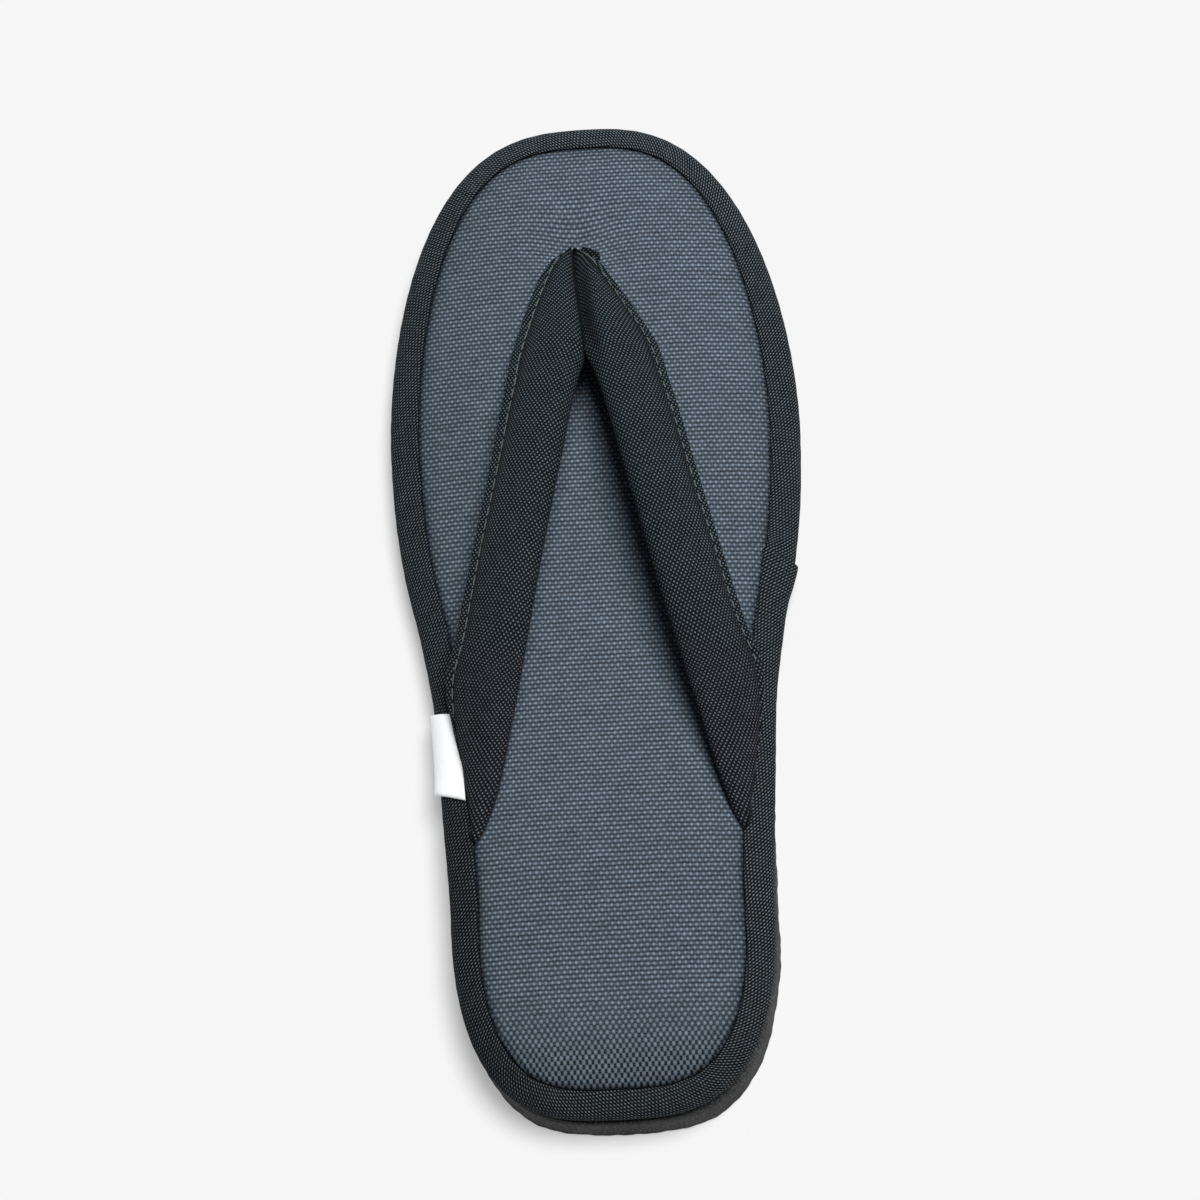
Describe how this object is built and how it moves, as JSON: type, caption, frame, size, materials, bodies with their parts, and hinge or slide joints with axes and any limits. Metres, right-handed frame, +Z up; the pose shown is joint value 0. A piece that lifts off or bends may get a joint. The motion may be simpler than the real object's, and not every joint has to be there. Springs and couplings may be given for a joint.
{
  "type": "zori sandal",
  "caption": "Indoor zori slipper for the left foot: padded canvas footbed with bound edge, V-shaped stuffed canvas strap and low wedge sole.",
  "frame": {"origin": "middle of the bounding box at the floor, under the sole", "axes": "+Y to the toe, +Z up, +X to the right of the wearer, which is the big toe's side on this left shoe"},
  "size_m": [0.1042, 0.2588, 0.0363],
  "materials": {
    "sole": "dark brown-grey foamed rubber, brushed edge",
    "footbed_canvas": "slate-blue coarse plain-weave canvas",
    "binding_canvas": "charcoal plain-weave canvas cut on the bias",
    "strap_canvas": "charcoal plain-weave canvas over stuffing",
    "label_tape": "white woven tape, bare"
  },
  "bodies": {
    "root": {"outsole": "sole", "insole": "footbed_canvas", "binding": "binding_canvas", "strap": "strap_canvas", "label": "label_tape"}
  },
  "joints": []
}
